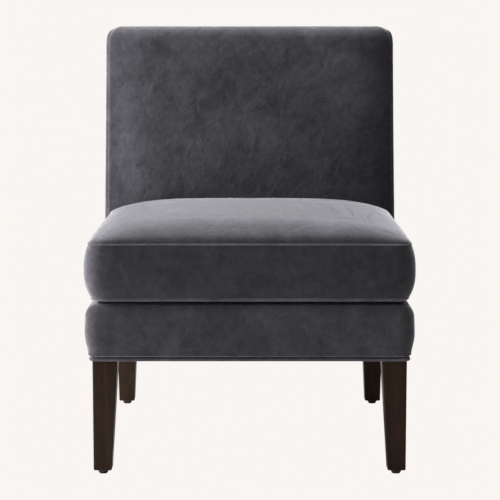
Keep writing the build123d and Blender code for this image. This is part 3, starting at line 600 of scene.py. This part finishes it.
# Seat deck: a thin pad under a dark cotton cloth, stretched over the webbing inside the base's shoulder.
# The loose cushion rests on it, and it shows when the cushion is lifted off.
deck_low, deck_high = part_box("deck_cloth")
deck_size = deck_high - deck_low
deck_columns, deck_rows = 60, 56
deck_roll, deck_roll_share = 0.006, 0.03
deck_yarn = 0.0009
deck_dark = (0.020, 0.020, 0.022, 1)
deck_light = (0.036, 0.036, 0.039, 1)
deck_cloth = woven_cloth("deck_cotton", deck_yarn, deck_dark, deck_light)
deck_points = []
for row in range(deck_rows + 1):
    for column in range(deck_columns + 1):
        across_share, along_share = eased(column / deck_columns), eased(row / deck_rows)
        edge = min(across_share, 1 - across_share, along_share, 1 - along_share)
        rolled = max(0, 1 - edge / deck_roll_share) ** 2
        deck_points.append((deck_low.x + deck_size.x * across_share, deck_low.y + deck_size.y * along_share,
                            deck_high.z - deck_roll * rolled))
deck_top_count = len(deck_points)
deck_points += [(x, y, deck_low.z) for x, y, z in deck_points]
deck_faces = grid_faces(deck_rows + 1, deck_columns + 1)
deck_faces += grid_faces(deck_rows + 1, deck_columns + 1, deck_top_count)
rim = list(range(deck_columns))
rim += [row * (deck_columns + 1) + deck_columns for row in range(deck_rows)]
rim += [deck_rows * (deck_columns + 1) + column for column in range(deck_columns, 0, -1)]
rim += [row * (deck_columns + 1) for row in range(deck_rows, 0, -1)]
for step, place in enumerate(rim):
    next_place = rim[(step + 1) % len(rim)]
    deck_faces.append((place, next_place, next_place + deck_top_count, place + deck_top_count))
seat_deck = new_piece("seat_deck", deck_points, deck_faces, deck_cloth)
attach(seat_deck, "chair")
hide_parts("deck_cloth", "deck_pad")


# Back: foam and wadding on the back frame under velvet. One panel runs up the inside, over the rolled top
# and a little way down behind; side gussets and the outside back are sewn to it near its edges.
inside_low, inside_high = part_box("inside_back_cover")
back_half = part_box("right_back_gusset")[1].x
back_bottom, back_top = inside_low.z, inside_high.z
back_height = back_top - back_bottom
back_rake = radians(9)
seat_depth = 0.5
seat_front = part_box("cushion_boxing")[0].y
seat_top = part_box("cushion_top_panel")[1].z
back_foot_y = seat_front + seat_depth + (back_bottom - seat_top) * tan(back_rake)
back_rear_foot_y, back_rear_y = base_high.y, -seat_front
back_front_roll, back_rear_roll = 0.034, 0.026
back_rear_slope = (back_rear_y - back_rear_foot_y) / (back_top - back_rear_roll - back_bottom)
back_edge = 0.011
back_slack = 0.002
top_corner_across, top_corner_down = 0.024, 0.042
upright_steps, roll_steps, top_steps = 74, 12, 8
back_columns = 104
seam_gather = 0.75

# The seams near the edges draw the cover in: how deep, and how far to either side
back_seam_in = 0.0080
seam_crease = 0.0028
panel_crease_reach, gusset_crease_reach, outside_crease_rows = 0.0035, 0.003, 1.5
seam_half = back_half - back_seam_in
seam_angle = asin((back_edge - back_seam_in) / back_edge)
rows_to_outside_seam = 5
outside_seam = upright_steps + 2 * roll_steps + top_steps + rows_to_outside_seam

# The padding's crown: full from a way above the seat, less below it and behind
back_crown = 0.017
crown_foot_share, crown_foot, crown_climb = 0.25, 0.09, 0.16
rear_crown_share = 0.4
gusset_belly, gusset_belly_reach = 0.004, 0.05

# The foot goes down into the base in a band along its sides and its rear, inside a narrow rim
foot_tuck = 0.0145
foot_rim, foot_rim_ease = 0.0045, 0.004
foot_band, foot_band_ease = 0.026, 0.006
# Painted light and shade: a lighter copy of the velvet, painted lighter still at the left and darker towards
# the right edge
back_velvet = velvet_material("charcoal_velvet_back", lift=1.6,
                              painted_light_along_x=[(-0.31, -0.17, 1.4, 1), (0.21, 0.31, 1, 0.25)])


def rolled_corner(before, corner, after, radius, count):
    """Points round the arc that fits a corner of two straight lines."""
    back_way, on_way = (before - corner).normalized(), (after - corner).normalized()
    half_angle = back_way.angle(on_way) / 2
    centre = corner + (back_way + on_way).normalized() * (radius / sin(half_angle))
    start = corner + back_way * (radius / tan(half_angle)) - centre
    end = corner + on_way * (radius / tan(half_angle)) - centre
    sweep = start.angle(end)
    return [centre + (start * sin((1 - share) * sweep) + end * sin(share * sweep)) / sin(sweep)
            for share in (step / count for step in range(count + 1))]


def straight(start, end, count):
    return [start.lerp(end, eased(step / count, gather=0.3)) for step in range(count + 1)]


front_foot = Vector((0, back_foot_y, back_bottom))
front_corner = Vector((0, back_foot_y + back_height * tan(back_rake), back_top))
rear_corner = Vector((0, back_rear_foot_y + back_height * back_rear_slope, back_top))
rear_foot = Vector((0, back_rear_foot_y, back_bottom))
front_roll = rolled_corner(front_foot, front_corner, rear_corner, back_front_roll, roll_steps)
rear_roll = rolled_corner(front_corner, rear_corner, rear_foot, back_rear_roll, roll_steps)
back_profile = straight(front_foot, front_roll[0], upright_steps)[:-1] + front_roll[:-1]
back_profile += straight(front_roll[-1], rear_roll[0], top_steps)[:-1] + rear_roll[:-1]
back_profile += straight(rear_roll[-1], rear_foot, upright_steps)
profile_length = len(back_profile)
back_normals = []
for place in range(profile_length):
    way = back_profile[min(place + 1, profile_length - 1)] - back_profile[max(place - 1, 0)]
    back_normals.append(Vector((0, -way.z, way.y)).normalized())


def back_swell(x, height, facing):
    """How far the padding stands proud of the frame's flat line: most in the middle, least at the seat."""
    across_part = 1 - abs(x / seam_half) ** 2.5
    up_part = min(1, max(crown_foot_share, (height - back_bottom - crown_foot) / crown_climb))
    side_crown = back_crown if facing < 0 else rear_crown_share * back_crown
    return side_crown * across_part * up_part * abs(facing) ** 2


def top_narrowing(height):
    """How much narrower the back is at this height: its top corners are rounded."""
    above = max(0, height - (back_top - top_corner_down)) / top_corner_down
    return top_corner_across * (1 - sqrt(max(0, 1 - above ** 2.4)))


def back_point(place, x):
    """A point of the wrapped panel: on the profile, proud by the swell, rounded and creased at its seams."""
    point, normal = back_profile[place], back_normals[place]
    past_edge = max(0, abs(x) - (back_half - back_edge))
    drop = back_edge - sqrt(max(0, back_edge ** 2 - past_edge ** 2))
    near_seam = max(0, 1 - (seam_half - abs(x)) / panel_crease_reach)
    drop += seam_crease * near_seam ** 2
    near_outside_seam = max(0, 1 - abs(place - outside_seam) / outside_crease_rows)
    drop += seam_crease * near_outside_seam
    placed = point + normal * (back_swell(x, point.z, normal.y) - drop)
    side = (x / back_half) * (back_half - top_narrowing(placed.z))
    return Vector((side, placed.y, placed.z))


def filled_panel(low, high, left, right):
    """A grid of points between four edges: low and high run from left to right, left and right upwards."""
    rows, columns = len(left), len(low)
    grid = []
    for row in range(rows):
        v = row / (rows - 1)
        for column in range(columns):
            u = column / (columns - 1)
            ruled = low[column] * (1 - v) + high[column] * v + left[row] * (1 - u) + right[row] * u
            corners = (low[0] * (1 - u) * (1 - v) + low[-1] * u * (1 - v)
                       + high[0] * (1 - u) * v + high[-1] * u * v)
            grid.append(ruled - corners)
    return grid


column_places = [seam_half * (2 * eased(column / back_columns, seam_gather) - 1)
                 for column in range(back_columns + 1)]
back_points = [back_point(place, x) for place in range(profile_length) for x in column_places]
back_faces = grid_faces(profile_length, back_columns + 1)

# Each gusset is a flat side panel, let in between the inside, the rolled top and the outside back
rise_steps = upright_steps + roll_steps // 2
cap_steps = roll_steps + top_steps
fall_start = rise_steps + cap_steps
back_seams = []
for side in (-1, 1):
    seam = [back_point(place, side * seam_half) for place in range(profile_length)]
    back_seams += seam
    rise = seam[:rise_steps + 1]
    cap = seam[rise_steps:fall_start + 1]
    fall = seam[fall_start:][::-1]
    foot = [rise[0].lerp(fall[0], eased(step / cap_steps, seam_gather)) for step in range(cap_steps + 1)]
    first = len(back_points)
    for place, point in enumerate(filled_panel(foot, cap, rise, fall)):
        row, column = divmod(place, cap_steps + 1)
        gap = min((point - edge).length for edge in (rise[row], fall[row], cap[column]))
        reach = max(0, back_edge * cos(seam_angle) - gap)
        if gap > 0.00001:
            out = sqrt(max(0, back_edge ** 2 - reach ** 2)) - back_edge * sin(seam_angle)
            out += gusset_belly * min(1, gap / gusset_belly_reach)
            out -= seam_crease * max(0, 1 - gap / gusset_crease_reach) ** 2
            point = point + Vector((side * out, 0, 0))
        back_points.append(point)
    back_faces += grid_faces(rise_steps + 1, cap_steps + 1, first)

foot_first = len(back_points)
for step in range(cap_steps + 1):
    for x in column_places:
        front, rear = back_point(0, x), back_point(profile_length - 1, x)
        point = front.lerp(rear, eased(step / cap_steps, seam_gather))
        inwards = min(seam_half - abs(x), rear.y - point.y)
        past_rim = max(0, min(inwards, point.y - front.y) - foot_rim)
        in_band = max(0, foot_band - inwards)
        point.z -= foot_tuck * min(1, past_rim / foot_rim_ease) * min(1, in_band / foot_band_ease)
        back_points.append(point)
back_faces += grid_faces(cap_steps + 1, back_columns + 1, foot_first)

top_first = (upright_steps + roll_steps) * (back_columns + 1)
back_held = back_seams + back_points[top_first:profile_length * (back_columns + 1)] + back_points[foot_first:]
back = new_piece("upholstered_back", back_points, back_faces, back_velvet)
swell(back, back_held, back_slack)
smooth_over(back)
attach(back, "chair")
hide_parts("inside_back_cover", "outside_back_cover", "left_back_gusset", "right_back_gusset",
            "back_foam", "back_wadding")


# Seat cushion: a loose foam cushion in a velvet cover, with a crowned top panel, a boxing band and a flat
# bottom panel. It is sewn with a fine welt round its top and a thicker one round its bottom.
boxing_low, boxing_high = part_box("cushion_boxing")
top_welt_low, top_welt_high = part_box("cushion_top_welt")
bottom_welt_low, bottom_welt_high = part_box("cushion_bottom_welt")
zipper_low, zipper_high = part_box("zipper")
cushion_half = boxing_high.x
cushion_front = boxing_low.y
cushion_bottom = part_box("cushion_bottom_panel")[0].z
top_seam = (top_welt_low.z + top_welt_high.z) / 2
bottom_seam = (bottom_welt_low.z + bottom_welt_high.z) / 2
boxing_height = top_seam - bottom_seam
cushion_rear_gap = 0.0045
cushion_slack = 0.003
cushion_corner = 0.036
cushion_across, cushion_along, cushion_round = 92, 76, 12
boxing_rows = 18
boxing_fullness = 2.6
top_tuck, bottom_tuck = 0.0085, 0.0115
rear_tuck_share, corner_tuck_share = 0.3, 0.6
bottom_fall = 0.012

# The top seam sags a little all along and more at its sides; the rear is set in under the zipper's tape
seam_sag, seam_sag_middle = 0.0028, 0.45
zipper_set_in, zipper_end_ease, zipper_edge_ease = 0.004, 0.010, 0.008

# The crown: a steep start at the seam, then a gentle rise from the sides, and from the front a round edge
# that is fuller at the right, before the gentle rise. Smoothing settles its top again.
crown_settling = 0.0023
side_steep_share, side_steep_reach = 0.2, 0.002
front_steep_share, front_steep_reach = 0.1, 0.003
front_gentle_share, front_gentle_reach = 0.38, 0.45
crown_front_inset, crown_rear_inset = 0.120, 0.034
fuller_inset, fuller_x, fuller_width = 0.035, 0.19, 0.1

# Painted highlights: the cushion's left corner is painted lighter, and a lighter patch is painted on the
# seat's front right, standing in for sheen
cushion_velvet = velvet_material("charcoal_velvet", stretch=(1, 0.22, 1), painted_light_along_x=[(-0.303, -0.235, 2.4, 1)],
                                 painted_highlight=((0.20, -0.25, 0.455), (0.19, 0.13, 0.04), 2.6))


def cushion_rear(height):
    """The cushion's rear follows the rake of the inside back."""
    return back_foot_y + (height - back_bottom) * tan(back_rake) - cushion_rear_gap


def cushion_ring(height, take_in):
    """A level line round the boxing; towards its top the line sags a little, most at its sides."""
    outline = plan_outline(cushion_half - take_in, cushion_front + take_in,
                           cushion_rear(height) - rear_tuck_share * take_in,
                           cushion_corner - corner_tuck_share * take_in,
                           cushion_across, cushion_along, cushion_round)
    sag = seam_sag * (height - bottom_seam) / boxing_height
    ring = []
    for x, y in outline:
        sag_share = seam_sag_middle + (1 - seam_sag_middle) * abs(x / cushion_half) ** 6
        ring.append(Vector((x, y, height - sag * sag_share)))
    return ring


def zipper_recess(x, height):
    """How far the rear of the boxing is set in under the zipper's tape."""
    past_end = max(0, abs(x) - zipper_high.x) / zipper_end_ease
    past_edge = max(0, zipper_low.z - height, height - zipper_high.z) / zipper_edge_ease
    return zipper_set_in * max(0, 1 - max(past_end, past_edge))


cushion_rings = []
for row in range(boxing_rows + 1):
    height = bottom_seam + boxing_height * eased(row / boxing_rows, gather=0.5)
    share = (height - bottom_seam) / boxing_height
    tuck = bottom_tuck if share < 0.5 else top_tuck
    ring = cushion_ring(height, tuck * abs(2 * share - 1) ** boxing_fullness)
    ring_rear = max(point.y for point in ring)
    for point in ring:
        if point.y > ring_rear - 0.0001:
            point.y -= zipper_recess(point.x, height)
    cushion_rings.append(ring)
cushion_points = [point for ring in cushion_rings for point in ring]
cushion_faces = ring_faces(boxing_rows + 1, len(cushion_rings[0]))


def ring_sides(ring):
    """A ring's four edges, as a panel between them is filled."""
    across_count = cushion_across + cushion_round
    along_count = cushion_along + cushion_round
    low = ring[:across_count + 1]
    right = ring[across_count:across_count + along_count + 1]
    high = ring[across_count + along_count:2 * across_count + along_count + 1]
    left = ring[2 * across_count + along_count:] + ring[:1]
    return low, high[::-1], left[::-1], right


def round_rise(distance, inset):
    """A quarter round, from 0 at the seam to 1 at its inset."""
    return sqrt(max(0, 1 - max(0, 1 - distance / inset) ** 2))


def crown_side_share(distance):
    """Across the seat the crown stands up steeply at the seam and goes on gently to the middle."""
    steep = 1 - exp(-distance / side_steep_reach)
    gentle = (1 - max(0, 1 - distance / (cushion_half - top_tuck)) ** 4) ** 0.62
    return side_steep_share * steep + (1 - side_steep_share) * gentle


def crown_front_share(distance, x):
    """From the front the crown rises in a short round edge, fuller at the right, and then gently."""
    steep = 1 - exp(-distance / front_steep_reach)
    inset = crown_front_inset - fuller_inset * exp(-((x - fuller_x) / fuller_width) ** 2)
    rounded = round_rise(distance, inset)
    gentle = 1 - max(0, 1 - distance / front_gentle_reach) ** 2
    rounded_share = 1 - front_steep_share - front_gentle_share
    return front_steep_share * steep + rounded_share * rounded + front_gentle_share * gentle


crown_rise = seat_top - top_seam + crown_settling
low, high, left, right = ring_sides(cushion_rings[-1])
panel_columns, panel_rows = len(low), len(left)
crown_first = len(cushion_points)
for place, point in enumerate(filled_panel(low, high, left, right)):
    row, column = divmod(place, panel_columns)
    to_side = min((point - left[row]).length, (point - right[row]).length)
    to_front, to_rear = (point - low[column]).length, (point - high[column]).length
    share = crown_side_share(to_side) * crown_front_share(to_front, point.x)
    point.z += crown_rise * share * round_rise(to_rear, crown_rear_inset)
    cushion_points.append(point)
cushion_faces += grid_faces(panel_rows, panel_columns, crown_first)

low, high, left, right = ring_sides(cushion_rings[0])
bottom_first = len(cushion_points)
for place, point in enumerate(filled_panel(low, high, left, right)):
    row, column = divmod(place, panel_columns)
    gap = min((point - edge).length for edge in (left[row], right[row], low[column], high[column]))
    point.z -= (bottom_seam - cushion_bottom) * min(1, gap / bottom_fall)
    cushion_points.append(point)
cushion_faces += grid_faces(panel_rows, panel_columns, bottom_first)

cushion_held = cushion_rings[-1] + cushion_rings[0] + cushion_points[bottom_first:]
cushion = new_piece("seat_cushion", cushion_points, cushion_faces, cushion_velvet)
swell(cushion, cushion_held, cushion_slack)
smooth_over(cushion)
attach(cushion, "cushion")
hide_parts("cushion_top_panel", "cushion_boxing", "cushion_bottom_panel", "cushion_wrap",
            "cushion_core")

# Each welt lies a little deeper than the cover at its seam; the lower one is drawn in at the sides too
welt_sink = 0.0008
bottom_welt_draw = 0.992
top_welt_radius = (top_welt_high.z - top_welt_low.z) / 2
top_welt = welt_cord("cushion_top_cord", cushion_ring(top_seam, top_tuck + welt_sink), top_welt_radius)
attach(top_welt, "cushion")
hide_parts("cushion_top_welt")
bottom_welt_radius = (bottom_welt_high.z - bottom_welt_low.z) / 2
bottom_welt_line = cushion_ring(bottom_seam, bottom_tuck + welt_sink)
bottom_welt_path = [(x * bottom_welt_draw, y, z) for x, y, z in bottom_welt_line]
bottom_welt = welt_cord("cushion_bottom_cord", bottom_welt_path, bottom_welt_radius)
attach(bottom_welt, "cushion")
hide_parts("cushion_bottom_welt")


# Zipper: a closing in the rear of the cushion's boxing, on a dark woven tape, with a small metal slider.
# The tape lies in a shallow set-in of the boxing, and the slider runs along it.
zipper_yarn = 0.0007
zipper_dark = (0.012, 0.012, 0.014, 1)
zipper_light = (0.022, 0.022, 0.025, 1)
slider_dark = (0.05, 0.05, 0.055, 1)
slider_worn = (0.16, 0.16, 0.17, 1)
paint(woven_cloth("zipper_tape_cloth", zipper_yarn, zipper_dark, zipper_light, turn=(quarter_turn, 0, 0)),
      "zipper")
slider_metal, slider_tree, slider_shader = new_material("blackened_slider_metal", roughness=0.35)
slider_shader.inputs["Metallic"].default_value = 1
slider_wear = noise(slider_tree, surface_coordinates(slider_tree), scale=600, detail=4)
two_tone(slider_tree, slider_shader, slider_wear, slider_dark, slider_worn)
paint(slider_metal, "zipper_slider")


# Studio: a plain floor and backdrop of one pale tone, a broad light overhead, four smaller ones on the left.
# The camera stands in front of the chair, a little lower than the top of its back, and looks slightly down.
paper = (0.947, 0.913, 0.887, 1)
floor_reach = 30
camera_place = (0.0006, -3.2441, 0.7771)
camera_down = radians(7.037)
camera_lens = 118


def seen_as_paper(tree, shader, bright, output):
    """Lets the camera see the paper's even tone, while other rays meet the surface itself."""
    sight = add_node(tree, "ShaderNodeLightPath")
    both = add_node(tree, "ShaderNodeMixShader", _0=sight.outputs["Is Camera Ray"],
                    _1=shader.outputs[0], _2=bright.outputs[0])
    tree.links.new(both.outputs["Shader"], tree.nodes[output].inputs["Surface"])


floor_material, floor_tree, floor_shader = new_material("pale_floor", roughness=0.9)
floor_shader.inputs["Base Color"].default_value = paper
floor_glow = add_node(floor_tree, "ShaderNodeEmission", Color=paper, Strength=1)
seen_as_paper(floor_tree, floor_shader, floor_glow, "Material Output")
floor_corners = [(-floor_reach, -floor_reach, 0), (floor_reach, -floor_reach, 0),
                 (floor_reach, floor_reach, 0), (-floor_reach, floor_reach, 0)]
floor = new_piece("studio_floor", floor_corners, [(0, 1, 2, 3)], floor_material)

scene = bpy.context.scene
scene.view_settings.view_transform = "Standard"
world = bpy.data.worlds.new("studio_surround")
world.use_nodes = True
scene.world = world
surround = world.node_tree.nodes["Background"]
surround.inputs["Strength"].default_value = 0
backdrop = add_node(world.node_tree, "ShaderNodeBackground", Color=paper, Strength=1)
seen_as_paper(world.node_tree, surround, backdrop, "World Output")


def soft_light(name, place, aim, width, height, power):
    lamp = bpy.data.lights.new(name, "AREA")
    lamp.shape = "RECTANGLE"
    lamp.size, lamp.size_y = width, height
    lamp.energy = power
    light = bpy.data.objects.new(name, lamp)
    light.location = place
    light.visible_camera = False
    light.rotation_euler = (Vector(aim) - Vector(place)).to_track_quat("-Z", "Y").to_euler()
    scene.collection.objects.link(light)


soft_light("overhead_light", place=(0, 0.7, 2.6), aim=(0, 0, 0.4), width=2.4, height=1.2, power=52)
soft_light("high_front_light", place=(-1.6, -2.4, 2.8), aim=(0, 0, 0.4), width=1.6, height=1.6, power=58)
soft_light("high_side_light", place=(-2.6, -0.3, 2.6), aim=(0, 0, 0.4), width=1.6, height=1.6, power=91)
soft_light("side_light", place=(-1.5, 0, 0.75), aim=(-0.2, 0, 0.6), width=0.5, height=0.8, power=14.5)
soft_light("low_side_light", place=(-1.15, -0.35, 0.2), aim=(-0.3, -0.3, 0.28), width=0.5, height=0.26,
           power=4.5)

camera_data = bpy.data.cameras.new("photo_camera")
camera_data.sensor_width = 36
camera_data.lens = camera_lens
camera = bpy.data.objects.new("photo_camera", camera_data)
camera.location = camera_place
camera.rotation_euler = (quarter_turn - camera_down, 0, 0)
scene.collection.objects.link(camera)
scene.camera = camera
